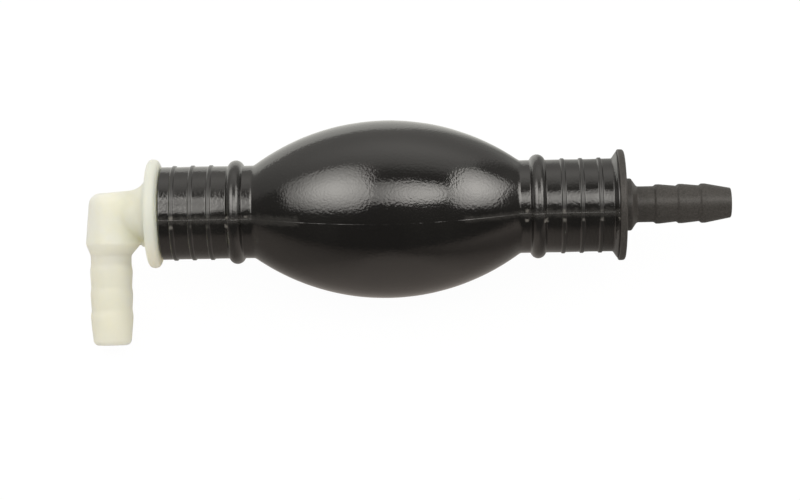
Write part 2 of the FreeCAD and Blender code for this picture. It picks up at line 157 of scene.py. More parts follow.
def grownFromTree(name, tree, sizes, material):
    # runs the tree once and keeps its result as a plain mesh in the pump's place
    holder = bpy.data.objects.new(name + "Holder", bpy.data.meshes.new(name + "Holder"))
    bpy.context.scene.collection.objects.link(holder)
    modifier = holder.modifiers.new(name, "NODES")
    modifier.node_group = tree
    sockets = {item.name: item.identifier for item in tree.interface.items_tree
               if item.in_out == "INPUT"}
    for label, value in sizes.items():
        modifier[sockets[label]] = value
    modifier[sockets["Material"]] = material
    bpy.context.view_layer.update()
    evaluated = holder.evaluated_get(bpy.context.evaluated_depsgraph_get())
    mesh = bpy.data.meshes.new_from_object(evaluated)
    holder.modifiers.remove(modifier)
    bpy.data.objects.remove(holder)
    return placed(name, mesh)


def placed(name, mesh):
    mesh.name = name
    mesh.transform(pumpPlace)
    for polygon in mesh.polygons:
        polygon.use_smooth = True
    piece = bpy.data.objects.new(name, mesh)
    bpy.context.scene.collection.objects.link(piece)
    return piece


# The bulb's sizes, which its rubber needs too.

bulbSizes = {
    "Belly Radius": 20.8, "Belly Half": 31.0, "Belly Wall": 3.0, "Belly Blend": 0.35,
    "Neck Radius": 10.85, "Neck Length": 21.9, "Neck Round": 0.5, "Throat Radius": 6.8,
    "Bore Radius": 8.15, "Bore Depth": 17.9, "Bore Step": 0.3,
    "Bead Inset": 4.2, "Bead Width": 3.6, "Bead Rise": 1.3,
    "Ring Count": 3, "Ring Inset": 3.3, "Ring Pitch": 4.3, "Ring Width": 1.1,
    "Ring Rise": 0.28, "Ring Top": 0.6, "Lip Length": 0.35, "Lip Reach": 0.82, "Lip Rise": 1.62,
    # the parting line is thin on the belly, chipped near the belly's ends and thick on the necks
    "Seam Angle": -0.171, "Seam Sag": 0.018, "Seam Height": 0.055, "Seam Width": 0.2,
    "Seam Top": 0.3, "Seam Thinned": 0.7, "Seam Fade": 0.2, "Neck Fade": 0.5,
    "Neck Seam Height": 0.09, "Neck Seam Width": 0.4, "Neck Seam Wander": 1.2,
    "Left Chip": 19.4, "Right Chip": 17.6, "Chip Width": 0.9, "Chip Height": 0.165,
    "Knob Width": 0.6, "Knob Height": 0.1, "Side Fade": 0.1,
    "Grit Scale": 0.9, "Grit Apart": 7.0, "Grit Least": 0.3, "Grit Most": 0.7,
    "Grit Narrow": 0.7, "Grit Wide": 1.3, "Grit Low": 0.4, "Grit High": 1.5,
    # moulded rubber is never quite straight, and one side of the left neck has sunk a little
    "Wave Scale": 0.16, "Wave Radius": 9.0, "Belly Wave": 0.08, "Neck Wave": 0.2,
    "Sink Depth": 0.16, "Sink Angle": 0.14, "Sink Width": 0.21, "Sink Start": 5.0,
    "Sink Full": 13.0, "Sink Least": 0.3,
    # the mesh's stations: the belly's end at one share of them, the neck's at the next
    "Around": 160, "Along": 470, "Bore Along": 90, "Belly Share": 0.25, "Neck Share": 0.97,
    "Crowding": 0.45, "Weld": 0.0008,
}


# Materials.

def newMaterial(name, sockets):
    material = bpy.data.materials.new(name)
    material.use_nodes = True
    tree = material.node_tree
    shader = tree.nodes["Principled BSDF"]
    for label, value in sockets.items():
        shader.inputs[label].default_value = value
    return material, tree, shader


def pumpCoordinates(tree):
    # millimetres along and around the bulb, read from the piece's own object coordinates
    where = addNode(tree, "ShaderNodeTexCoord")
    back = pumpPlace.inverted()
    turn = back.to_euler()
    shifted = addNode(tree, "ShaderNodeVectorMath", {0: where.outputs["Object"], 1: -bulbMiddle},
                      operation="ADD")
    turned = addNode(tree, "ShaderNodeMapping", {"Vector": shifted.outputs[0], "Rotation": turn,
                                                 "Scale": [1 / millimetre] * 3})
    return turned.outputs[0]


def noise(tree, vector, scale, detail, roughness=0.5):
    node = addNode(tree, "ShaderNodeTexNoise",
                   {"Vector": vector, "Scale": scale, "Detail": detail, "Roughness": roughness})
    return Wire(tree, node.outputs[0])


def mixColour(tree, factor, first, second):
    node = addNode(tree, "ShaderNodeMix", data_type="RGBA")
    plug(tree, node.inputs[0], factor)
    for socket, colour in ((node.inputs[6], first), (node.inputs[7], second)):
        plug(tree, socket, (*colour, 1) if isinstance(colour, tuple) else colour)
    return node.outputs[2]


def bumpFrom(tree, shader, height, distance):
    node = addNode(tree, "ShaderNodeBump",
                   {"Height": height, "Distance": distance, "Strength": 1})
    tree.links.new(node.outputs[0], shader.inputs["Normal"])


# A noise is given as its scale, detail and roughness, and a range as Map Range takes it.
rubberLook = {
    "black": (0.0065, 0.0060, 0.0056), "bloom": (0.0105, 0.0098, 0.0088),
    "sockets": {"Roughness": 0.105, "IOR": 1.6, "Specular IOR Level": 1.0},
    "cloud": (0.06, 3), "bloomRange": (0.4, 0.75), "shineRange": (0.3, 0.7, 0.075, 0.145),
    "ringShine": 0.32, "beadShare": 0.5, "ringFade": 0.15,
    "peel": (1.8, 1), "peelHeight": 0.000042, "peelPatches": (0.11, 2),
    "peelRange": (0.3, 0.7, 0.6, 0.9),
    "dust": (0.30, 0.29, 0.26), "dustSpacing": 7.0, "dustRange": (0.066, 0.11, 1, 0),
    # the matte trimmed band: half its width at the left and right of the belly and on the necks
    "scuff": (0.045, 0.043, 0.040), "bellyScuff": (-5, 5, 1.05, 0.6), "neckScuff": 0.75,
    "middle": (-0.1, 0.1), "neckFade": 1.0,
    "torn": (0.9, 3, 0.7), "bandTear": 2.2, "bandRange": (-0.4, 0.4, 1, 0), "endTear": 2.0,
    "endRange": (0, 0.8), "bandCover": (0, 1, 0.55, 0.8), "matte": (1.6, 2),
    "matteRange": (0.35, 0.65, 0.22, 0.34),
    # torn flash lies on the rings along two lines beside the parting line; its pale colour is a
    # painted highlight, the glint its lumps catch
    "flashAndGlint": (0.19, 0.18, 0.165), "flashLines": (0.55, -1.55), "flashTear": 1.6,
    "flashRange": (0.1, 0.5, 0.9, 0), "flashPlaces": (0.35, 0), "placesRange": (0.4, 0.55),
}
# how far from the bulb's middle the ring nearest to a neck's end sits
firstRing = bulbSizes["Belly Half"] + bulbSizes["Neck Length"] - bulbSizes["Ring Inset"]


def seamScuff(tree, spot):
    # how far the matte trimmed band beside the parting line covers this point, and the torn flash
    # where a ring crosses it, painted pale as a highlight
    look = rubberLook
    part = addNode(tree, "ShaderNodeSeparateXYZ", {0: spot})
    x, y, z = (Wire(tree, output) for output in part.outputs)
    angle = bulbSizes["Seam Angle"]
    above = y * math.cos(angle) - z * math.sin(angle)
    along = x.size()
    belly, fade = bulbSizes["Belly Half"], look["neckFade"]
    onNeck = along.ramp(belly - fade, belly + fade)
    reach = x.ramp(*look["bellyScuff"])
    reach = reach + onNeck * (-reach + look["neckScuff"])
    chip = x.ramp(*look["middle"], bulbSizes["Left Chip"], bulbSizes["Right Chip"])
    torn = noise(tree, spot, *look["torn"]) - 0.5
    band = (above.size() - reach + torn * look["bandTear"]).ramp(*look["bandRange"])
    band = band * (along - chip + torn * look["endTear"]).ramp(*look["endRange"])
    fromRing = (-along + firstRing).calc("PINGPONG", bulbSizes["Ring Pitch"] / 2)
    upper, lower = [(above - line).size() for line in look["flashLines"]]
    flashAndGlint = fromRing.over(upper.under(lower)) + torn * look["flashTear"]
    flashAndGlint = flashAndGlint.ramp(*look["flashRange"]) * onNeck
    places = noise(tree, spot, *look["flashPlaces"]).ramp(*look["placesRange"])
    return band * onNeck.ramp(*look["bandCover"]), flashAndGlint * places


def fromNearestRing(fromFirst, pitch, count):
    # how far a point is from the nearest ring, whose rings follow the first one at that pitch
    number = (fromFirst / pitch).calc("ROUND").over(0).under(count - 1)
    return (fromFirst - number * pitch).size()


def ringDullness(tree, spot):
    # the rings and the bead are duller than the rubber between them
    fade = rubberLook["ringFade"]
    along = Wire(tree, addNode(tree, "ShaderNodeSeparateXYZ", {0: spot}).outputs[0]).size()
    away = fromNearestRing(-along + firstRing, bulbSizes["Ring Pitch"], bulbSizes["Ring Count"])
    half = bulbSizes["Ring Width"] / 2
    ring = away.ramp(half - fade, half, 1, 0)
    half = bulbSizes["Bead Width"] / 2
    bead = (along - bulbSizes["Belly Half"] - bulbSizes["Bead Inset"]).size()
    return ring.over(bead.ramp(half, half + fade, rubberLook["beadShare"], 0))


def makeRubber():
    look = rubberLook
    material, tree, shader = newMaterial("bulbRubber", look["sockets"])
    spot = pumpCoordinates(tree)
    cloudy = noise(tree, spot, *look["cloud"])
    peel = noise(tree, spot, *look["peel"])
    patches = noise(tree, spot, *look["peelPatches"]).ramp(*look["peelRange"])
    scuffed, flashAndGlint = seamScuff(tree, spot)
    colour = mixColour(tree, cloudy.ramp(*look["bloomRange"]), look["black"], look["bloom"])
    colour = mixColour(tree, scuffed, colour, look["scuff"])
    # painted highlight: the torn flash on the rings is painted pale, as the glint its lumps catch
    colour = mixColour(tree, flashAndGlint, colour, look["flashAndGlint"])
    # a few specks of dust, each at the middle of its own cell
    spacing = look["dustSpacing"]
    cells = addNode(tree, "ShaderNodeTexVoronoi", {"Vector": spot, "Scale": 1 / spacing})
    away = Wire(tree, cells.outputs["Distance"]) * spacing
    colour = mixColour(tree, away.ramp(*look["dustRange"]), colour, look["dust"])
    tree.links.new(colour, shader.inputs["Base Color"])
    shine = cloudy.ramp(*look["shineRange"])
    shine = shine + ringDullness(tree, spot) * (-shine + look["ringShine"])
    matte = noise(tree, spot, *look["matte"]).ramp(*look["matteRange"])
    plug(tree, shader.inputs["Roughness"], shine + scuffed * (matte - shine))
    bumpFrom(tree, shader, peel * patches, look["peelHeight"])
    return material


ivoryLook = {
    # the flange is painted darker and cooler than the rest of the elbow, as painted shade where it
    # faces away from the light
    "pale": (0.86, 0.865, 0.76), "yellow": (0.85, 0.84, 0.69), "flange": (0.71, 0.735, 0.66),
    # the tail is painted lighter to lift the shade it gets, and is yellower as its own tone
    "tail": (0.96, 0.885, 0.69), "flangePaintedShadeFrom": (-57.4, -56.4), "tailPaintedLightFrom": (-6, -14),
    "cloud": (0.12, 3), "cloudRange": (0.35, 0.7), "grain": (2.2, 3), "grainHeight": 0.00002,
    "sockets": {"Roughness": 0.42, "Subsurface Weight": 1.0, "Subsurface Scale": 0.005,
                "Subsurface Radius": (1.0, 0.95, 0.8)},
}


def makeIvory():
    look = ivoryLook
    material, tree, shader = newMaterial("ivoryNylon", look["sockets"])
    spot = pumpCoordinates(tree)
    cloudy = noise(tree, spot, *look["cloud"]).ramp(*look["cloudRange"])
    colour = mixColour(tree, cloudy, look["pale"], look["yellow"])
    part = addNode(tree, "ShaderNodeSeparateXYZ", {0: spot})
    along, side = Wire(tree, part.outputs[0]), Wire(tree, part.outputs[1])
    # painted shade: the flange is darker and cooler
    colour = mixColour(tree, along.ramp(*look["flangePaintedShadeFrom"]), colour, look["flange"])
    # painted light: the tail is lighter to lift its shade, and yellower as its own tone
    colour = mixColour(tree, side.ramp(*look["tailPaintedLightFrom"]), colour, look["tail"])
    tree.links.new(colour, shader.inputs["Base Color"])
    bumpFrom(tree, shader, noise(tree, spot, *look["grain"]), look["grainHeight"])
    return material


# Two tones mixed by one noise, with a fine grain from another.
grainedLooks = {
    "darkNylon": {
        "tones": ((0.0365, 0.034, 0.0305), (0.073, 0.067, 0.062)), "patches": (2.6, 3, 0.7),
        "range": (0.35, 0.65), "grain": (2.6, 3, 0.7), "height": 0.00004,
        "sockets": {"Roughness": 0.4}},
    "valveAcetal": {
        "tones": ((0.84, 0.84, 0.81), (0.80, 0.80, 0.76)), "patches": (0.4, 2),
        "range": (0, 1), "grain": (3, 2), "height": 0.00001,
        "sockets": {"Roughness": 0.35, "Subsurface Weight": 0.2, "Subsurface Scale": 0.001}},
    "sealRubber": {
        "tones": ((0.03, 0.03, 0.03), (0.05, 0.05, 0.048)), "patches": (1.1, 3),
        "range": (0, 1), "grain": (6, 2), "height": 0.00001,
        "sockets": {"Roughness": 0.6}},
    "springSteel": {
        "tones": ((0.60, 0.60, 0.58), (0.50, 0.49, 0.47)), "patches": (2, 3),
        "range": (0, 1), "grain": (9, 2), "height": 0.000005,
        "sockets": {"Roughness": 0.3, "Metallic": 1.0}},
}


def makeGrained(name):
    look = grainedLooks[name]
    material, tree, shader = newMaterial(name, look["sockets"])
    spot = pumpCoordinates(tree)
    patches = noise(tree, spot, *look["patches"]).ramp(*look["range"])
    tree.links.new(mixColour(tree, patches, *look["tones"]), shader.inputs["Base Color"])
    bumpFrom(tree, shader, noise(tree, spot, *look["grain"]), look["height"])
    return material


rubber = makeRubber()
ivory = makeIvory()
darkNylon, acetal, sealRubber, springSteel = [makeGrained(name) for name in grainedLooks]
print("materials made")


# The bulb: one moulded skin with its bore.

def humpOver(along, width, rise):
    # the height of a round-topped rib of that width above its foot
    arc = (width * width / 4 + rise * rise) / (rise * 2)
    return ((arc * arc - along * along).root() - arc + rise).over(0)


def barrelRadius(size, distance, wall):
    # the belly's side is one arc from neck to neck, less its wall on the inside
    belly = size["Belly Half"]
    drop = size["Belly Radius"] - size["Neck Radius"]
    arc = (belly * belly + drop * drop) / (drop * 2)
    side = arc - wall
    return (side * side - distance * distance).root() - arc + size["Belly Radius"]


def stationSheet(tree, size, stations):
    # a flat sheet from -1 to 1 along the bulb, whose columns crowd together at the parting lines
    grid = addNode(tree, "GeometryNodeMeshGrid", {
        "Size X": 2, "Size Y": 2 * math.pi, "Vertices X": stations,
        "Vertices Y": size["Around"] + 1})
    place = addNode(tree, "ShaderNodeSeparateXYZ",
                    {0: addNode(tree, "GeometryNodeInputPosition").outputs[0]})
    station, turn = Wire(tree, place.outputs[0]), Wire(tree, place.outputs[1])
    angle = size["Seam Angle"] + turn - (turn * 2).calc("SINE") * size["Crowding"]
    return grid.outputs["Mesh"], station, turn, angle


def rolledUp(tree, sheet, x, radius, angle):
    spot = addNode(tree, "ShaderNodeCombineXYZ", {
        0: x, 1: radius * angle.calc("SINE"), 2: radius * angle.calc("COSINE")})
    moved = addNode(tree, "GeometryNodeSetPosition",
                    {"Geometry": sheet, "Position": spot.outputs[0]})
    return moved.outputs[0]


def wavesAndSink(tree, size, station, x, angle, distance, onNeck):
    # the long waves of the skin, and the sunk side of the neck at the inlet
    plain = addNode(tree, "ShaderNodeCombineXYZ", {
        0: x, 1: angle.calc("SINE") * size["Wave Radius"],
        2: angle.calc("COSINE") * size["Wave Radius"]})
    uneven = noise(tree, plain.outputs[0], size["Wave Scale"], 1) - 0.5
    wave = uneven * (size["Belly Wave"] + onNeck * (size["Neck Wave"] - size["Belly Wave"]))
    aside = (angle - size["Sink Angle"]).size()
    sink = aside.ramp(0, size["Sink Width"], size["Sink Depth"], 0, smooth=True)
    along = distance - size["Belly Half"]
    sink = sink * along.ramp(size["Sink Start"], size["Sink Full"], size["Sink Least"], 1)
    return wave, sink * onNeck * station.ramp(0, -size["Side Fade"])


def partingLine(tree, size, station, turn, x, radius, distance, onNeck, knob):
    # the height of the ridge above the skin, with grit of its own on each side of the bulb
    sideSign = turn.calc("COSINE").calc("SIGN")
    seamSpot = addNode(tree, "ShaderNodeCombineXYZ", {0: x, 1: sideSign * size["Grit Apart"]})
    grit = noise(tree, seamSpot.outputs[0], size["Grit Scale"], 3)
    least, most = size["Grit Least"], size["Grit Most"]
    wander = (grit - 0.5) * onNeck * size["Neck Seam Wander"]
    across = (radius * turn.calc("SINE") + wander).size()
    fromChip = distance - station.ramp(-size["Side Fade"], size["Side Fade"],
                                       size["Left Chip"], size["Right Chip"])
    heavy = fromChip.ramp(-size["Seam Fade"], size["Seam Fade"], size["Seam Thinned"], 1)
    chip = humpOver(fromChip, size["Chip Width"], size["Chip Height"])
    wide, high = size["Seam Width"] * heavy, size["Seam Height"] * heavy
    wide = wide + onNeck * (size["Neck Seam Width"] - wide) + knob * size["Knob Width"]
    high = high + onNeck * (size["Neck Seam Height"] - high) + knob * size["Knob Height"]
    wide = wide * grit.ramp(least, most, size["Grit Narrow"], size["Grit Wide"])
    high = high * grit.ramp(least, most, size["Grit Low"], size["Grit High"])
    return (across / wide).ramp(size["Seam Top"], 1, 1, 0, smooth=True) * (high + chip)


def bulbOutside(tree, size):
    sheet, station, turn, angle = stationSheet(tree, size, size["Along"])
    belly = size["Belly Half"]
    neckEnd = belly + size["Neck Length"]
    reach = station.size()
    bellyShare, neckShare = size["Belly Share"], size["Neck Share"]
    distance = reach.ramp(0, bellyShare, 0, belly)
    distance = distance + reach.ramp(bellyShare, neckShare, 0, size["Neck Length"])
    x = distance * station.calc("SIGN")
    onNeck = distance.ramp(belly - size["Neck Fade"], belly + size["Neck Fade"])

    # the belly, the bead, the rings and the skin's unevenness
    radius = barrelRadius(size, distance, 0)
    radius = radius.calc("SMOOTH_MAX", size["Neck Radius"], size["Belly Blend"])
    bead = humpOver(distance - belly - size["Bead Inset"], size["Bead Width"], size["Bead Rise"])
    fromFirst = neckEnd - distance - size["Ring Inset"]
    away = fromNearestRing(fromFirst, size["Ring Pitch"], size["Ring Count"])
    half = size["Ring Width"] / 2
    ring = away.ramp(half * size["Ring Top"], half, size["Ring Rise"], 0)
    wave, sink = wavesAndSink(tree, size, station, x, angle, distance, onNeck)
    radius = radius + bead + ring + wave - sink

    # the edge is rounded at the inlet, and pushed up the collar's cone as a lip at the outlet
    over = (distance - neckEnd + size["Neck Round"]).over(0)
    rounding = size["Neck Round"] - (size["Neck Round"] * size["Neck Round"] - over * over).root()
    atOutlet = station.ramp(0, size["Side Fade"])
    endFace = reach.ramp(neckShare, 1)
    lip = distance.ramp(neckEnd - size["Lip Length"], neckEnd, smooth=True) * atOutlet
    x = x + lip * size["Lip Reach"] * (-endFace + 1)
    radius = radius + lip * size["Lip Rise"] - rounding * (-atOutlet + 1)
    radius = radius - endFace * (radius - size["Bore Radius"])

    # the ridge thickens into knobs on the rings and the bead
    knob = ring.ramp(0, size["Ring Rise"]) + bead.ramp(0, size["Bead Rise"])
    ridge = partingLine(tree, size, station, turn, x, radius, distance, onNeck, knob)
    radius = radius + ridge * (-endFace + 1)
    sag = size["Seam Sag"] * reach.ramp(0, bellyShare, 1, 0)
    return rolledUp(tree, sheet, x, radius, angle - sag)


def bulbInside(tree, size):
    sheet, station, turn, angle = stationSheet(tree, size, size["Bore Along"])
    neckEnd = size["Belly Half"] + size["Neck Length"]
    distance = station.size() * neckEnd
    stepAt = neckEnd - size["Bore Depth"]
    bore = distance.ramp(stepAt - size["Bore Step"], stepAt, size["Throat Radius"],
                         size["Bore Radius"])
    radius = barrelRadius(size, distance, size["Belly Wall"]).over(bore)
    inside = rolledUp(tree, sheet, distance * station.calc("SIGN"), radius, angle)
    return addNode(tree, "GeometryNodeFlipFaces", {"Mesh": inside}).outputs[0]


def makeBulbTree():
    tree, size = newGeometryTree("bulbSkin", bulbSizes)
    both = addNode(tree, "GeometryNodeJoinGeometry")
    tree.links.new(bulbInside(tree, size), both.inputs[0])
    tree.links.new(bulbOutside(tree, size), both.inputs[0])
    closed = addNode(tree, "GeometryNodeMergeByDistance",
                     {"Geometry": both.outputs[0], "Distance": size["Weld"]})
    finishTree(tree, closed.outputs[0], size)
    return tree


bulb = grownFromTree("bulb_skin", makeBulbTree(), bulbSizes, rubber)
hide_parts("bulb")
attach(bulb, "pump_body")
print("bulb made")


# Outlines of turned pieces: each corner is (along, out, rounding). A rounding takes at most a share
# of the straight run beside it, and is drawn in steps.

roundingShare = 0.48
roundingSteps = 5


def roundedOutline(corners):
    points = []
    count = len(corners)
    for number, corner in enumerate(corners):
        spot = Vector(corner[:2])
        rounding = corner[2] if len(corner) > 2 else 0
        before = Vector(corners[number - 1][:2]) - spot
        after = Vector(corners[(number + 1) % count][:2]) - spot
        if rounding == 0:
            points.append(spot)
            continue
        half = before.angle(after) / 2
        reach = min(rounding / math.tan(half), min(before.length, after.length) * roundingShare)
        rounding = reach * math.tan(half)
        middle = spot + (before.normalized() + after.normalized()).normalized() * (
            rounding / math.sin(half))
        start = spot + before.normalized() * reach - middle
        end = spot + after.normalized() * reach - middle
        sweep = start.angle_signed(end)
        for step in range(roundingSteps + 1):
            turn = Matrix.Rotation(-sweep * step / roundingSteps, 2)
            points.append(middle + turn @ start)
    return [(point.x, point.y) for point in points]


def turnedMesh(outline, around, longest):
    # turns a closed outline about X; long straight runs get extra stations
    stations = []
    for number, start in enumerate(outline):
        end = outline[(number + 1) % len(outline)]
        pieces = max(1, math.ceil(math.dist(start, end) / longest))
        for step in range(pieces):
            share = step / pieces
            stations.append([a + (b - a) * share for a, b in zip(start, end)])
    stations = np.array(stations)
    angles = np.arange(around) * 2 * math.pi / around
    count = len(stations)
    spots = np.zeros((count, around, 3))
    spots[:, :, 0] = stations[:, :1]
    spots[:, :, 1] = stations[:, 1:] * np.sin(angles)
    spots[:, :, 2] = stations[:, 1:] * np.cos(angles)
    corner = np.arange(count * around).reshape(count, around)
    above, right = np.roll(corner, -1, 0), np.roll(corner, -1, 1)
    faces = np.stack([corner, above, np.roll(above, -1, 1), right], -1).reshape(-1, 4)
    return meshFrom(spots.reshape(-1, 3), faces)


def meshFrom(spots, faces):
    mesh = bpy.data.meshes.new("piece")
    mesh.from_pydata(spots.tolist(), [], faces.tolist())
    mesh.update()
    return mesh


# What both fittings share: the spigot in the neck, the valve's chamber and the hose tail.
fittingSizes = {
    "neckEnd": 52.9, "spigotRadius": 7.6, "spigotLength": 17.9, "mouthRound": 0.4,
    "spigotBarb": 0.5, "spigotLand": 0.8, "spigotRamp": 2.6, "landStart": 0.15, "landEnd": 0.2,
    "ringInset": 3.3, "ringPitch": 4.3, "ringCount": 3,
    "chamberRadius": 5.6, "valveLength": 12.6, "lip": 0.25, "lipLength": 0.5,
    "barbs": 3, "pitch": 5.3, "rootRound": 0.8, "boreRadius": 2.95,
}
outletSizes = {
    **fittingSizes, "lipReach": 0.85, "lipRadius": 12.47,
    "collarRadius": 12.95, "collarRim": 1.5, "collarCone": 1.0, "collarRound": 0.6,
    "hubRadius": 6.1, "hubLength": 1.6, "hubSlope": 1.3, "hubRound": 0.5,
    "reach": 80.25, "crest": 4.6, "barb": 0.4, "nose": 7.25,
    "barbShape": ((-0.2, 0.4), (0.35, 0.5), (1.2, 1.0)), "tip": 3.45, "tipRound": 0.45,
    "boreRound": 0.1, "plenumStep": 0.75, "plenumLength": 2.2, "plenumRound": 0.2,
    "lipFoot": 0.1, "lipRound": 0.15, "around": 160, "longestRun": 1.5,
}


def spigotCorners(size):
    # from the flange to the spigot's mouth, with a barb under each ring of the neck
    radius = size["spigotRadius"]
    barb = radius + size["spigotBarb"]
    corners = [(size["neckEnd"], radius)]
    for number in range(size["ringCount"]):
        crest = size["neckEnd"] - size["ringInset"] - number * size["ringPitch"]
        start, end = crest + size["spigotLand"] / 2, crest - size["spigotLand"] / 2
        corners += [(start, radius), (start, barb, size["landStart"]),
                    (end, barb, size["landEnd"]), (end - size["spigotRamp"], radius)]
    return corners + [(size["neckEnd"] - size["spigotLength"], radius, size["mouthRound"])]


def tailCorners(size):
    # a hose tail from its first barb to its tip: each barb has a foot and the two ends of its
    # crest, given by barbShape as distance along and rounding
    crest = size["crest"]
    corners = []
    for number in range(size["barbs"]):
        step = size["reach"] - size["nose"] - (size["barbs"] - 1 - number) * size["pitch"]
        for (along, rounding), out in zip(size["barbShape"], (crest - size["barb"], crest, crest)):
            corners.append((step + along, out, rounding))
    return corners + [(size["reach"], size["tip"], size["tipRound"])]


def valveRoom(size):
    # where the spigot's mouth and the end of the valve's chamber are, and the chamber's radius
    mouth = size["neckEnd"] - size["spigotLength"]
    return mouth, mouth + size["lipLength"] + size["valveLength"], size["chamberRadius"]


def makeOutletFitting():
    size = outletSizes
    mouth, shoulder, chamber = valveRoom(size)
    face = size["neckEnd"] + size["collarCone"] + size["collarRim"]
    root = size["crest"] - size["barb"]
    corners = spigotCorners(size)[::-1] + [
        (size["neckEnd"] + size["lipReach"], size["lipRadius"]),
        (size["neckEnd"] + size["collarCone"], size["collarRadius"], size["collarRound"]),
        (face, size["collarRadius"], size["collarRound"]),
        (face, size["hubRadius"], size["hubRound"]),
        (face + size["hubLength"], size["hubRadius"], size["hubRound"]),
        (face + size["hubLength"] + size["hubSlope"], root, size["rootRound"])]
    corners += tailCorners(size) + [
        (size["reach"], size["boreRadius"], size["boreRound"]),
        (shoulder + size["plenumLength"], size["boreRadius"], size["plenumRound"]),
        (shoulder, chamber - size["plenumStep"]), (shoulder, chamber),
        (mouth + size["lipLength"], chamber),
        (mouth + size["lipLength"], chamber - size["lip"], size["lipFoot"]),
        (mouth, chamber - size["lip"], size["lipRound"])]
    mesh = turnedMesh(roundedOutline(corners), size["around"], size["longestRun"])
    mesh.materials.append(darkNylon)
    return placed("outlet_fitting_body", mesh)


outlet = makeOutletFitting()
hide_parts("outlet_fitting")
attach(outlet, "pump_body")
print("outlet fitting made")


# The elbow: flange, stub, knee and tail flow into each other, so they are blended as distances.

elbowSizes = {
    **fittingSizes, "neckRadius": 10.85,
    "flangeRadius": 12.75, "flangeRim": 2.3, "flangeCone": 0.7, "flangeRound": 1.1,
    "stubSunk": 1.0, "stubFoot": 6.24, "stubEnd": 4.95, "blendAbove": 5.0, "blendBelow": 1.2,
    "blendTurn": 4.0, "kneeOffset": 64.35, "kneeRadius": 6.45, "kneeDraft": 1.0,
    "kneeCrown": 5.1, "kneeRound": 2.8, "kneeDrop": 6.9, "kneeSlope": 2.7, "kneeEdge": 0.25,
    "kneeBlend": 1.0, "tailShift": 0.65, "reach": 30.7, "crest": 4.95, "barb": 0.2, "nose": 8.0,
    "barbShape": ((-0.3, 0.6), (0.9, 0.9), (1.8, 0.9)), "tip": 4.35, "tipRound": 1.3,
    "crossRadius": 2.4, "boreCrown": 0.3,
    "webAt": (-56.6, -6.6, 0), "webHalf": (1.1, 1.1, 0.7), "webBlend": 0.5,
    "netLow": (-71.5, -32.2, -13.6), "netHigh": (-34.0, 13.6, 13.6), "cell": 0.27, "past": 5,
}


def outlineDistance(along, out, outline):
    # signed distance to a closed outline, negative inside
    tiny = 1e-9
    nearest = np.full(along.shape, np.inf)
    inside = np.zeros(along.shape, bool)
    for number, (startX, startY) in enumerate(outline):
        endX, endY = outline[(number + 1) % len(outline)]
        wayX, wayY = endX - startX, endY - startY
        length = wayX * wayX + wayY * wayY
        if length < tiny:
            continue
        offX, offY = along - startX, out - startY
        share = np.clip((offX * wayX + offY * wayY) / length, 0, 1)
        gap = (offX - share * wayX) ** 2 + (offY - share * wayY) ** 2
        nearest = np.minimum(nearest, gap)
        if abs(wayY) > tiny:
            crosses = (out >= min(startY, endY)) & (out < max(startY, endY))
            inside ^= crosses & (offX < offY * wayX / wayY)
    return np.where(inside, -1, 1) * np.sqrt(nearest)


def boxDistance(spot, middle, half):
    # signed distance to a box, negative inside
    off = [np.abs(way - at) - reach for way, at, reach in zip(spot, middle, half)]
    outside = np.sqrt(sum(np.clip(way, 0, None) ** 2 for way in off))
    return outside + np.clip(np.maximum(np.maximum(off[0], off[1]), off[2]), None, 0)


def blendedUnion(first, second, width):
    overlap = np.clip(width - np.abs(first - second), 0, None)
    return np.minimum(first, second) - overlap ** 2 / (4 * width)


def cellsAround(spots, axis):
    # the four cells about each net edge that starts at a spot and runs along that axis, in turn
    for second, third in ((0, 0), (1, 0), (1, 1), (0, 1)):
        cells = spots.copy()
        cells[:, (axis + 1) % 3] -= second
        cells[:, (axis + 2) % 3] -= third
        yield tuple(cells.T)


def netOver(field, low, cell):
    # one vertex in each cell that the surface crosses, one quad across each crossed edge
    inside = field < 0
    shape = np.array(field.shape) - 1
    total = np.zeros((*shape, 3))
    hits = np.zeros(shape)
    crossings = []
    for axis in range(3):
        first = [slice(None)] * 3
        second = [slice(None)] * 3
        first[axis] = slice(0, -1)
        second[axis] = slice(1, None)
        here, there = field[tuple(first)], field[tuple(second)]
        change = inside[tuple(first)] != inside[tuple(second)]
        spots = np.argwhere(change)
        crossings.append(spots)
        share = here[change] / (here[change] - there[change])
        points = spots.astype(float)
        points[:, axis] += share
        for index in cellsAround(spots, axis):
            np.add.at(total, index, points)
            np.add.at(hits, index, 1)
    used = np.argwhere(hits > 0)
    number = np.full(shape, -1)
    number[tuple(used.T)] = np.arange(len(used))
    vertices = total[tuple(used.T)] / hits[tuple(used.T)][:, None] * cell + low
    faces = []
    for axis, spots in enumerate(crossings):
        quads = np.stack([number[index] for index in cellsAround(spots, axis)], 1)
        outward = inside[tuple(spots.T)]
        quads[~outward] = quads[~outward][:, ::-1]
        faces.append(quads)
    return vertices, np.concatenate(faces)


def softened(field):
    # each value moves halfway to the middle of its neighbours, one axis after another
    for axis in range(3):
        ahead = np.roll(field, -1, axis)
        behind = np.roll(field, 1, axis)
        field = field * 0.5 + (ahead + behind) * 0.25
    return field


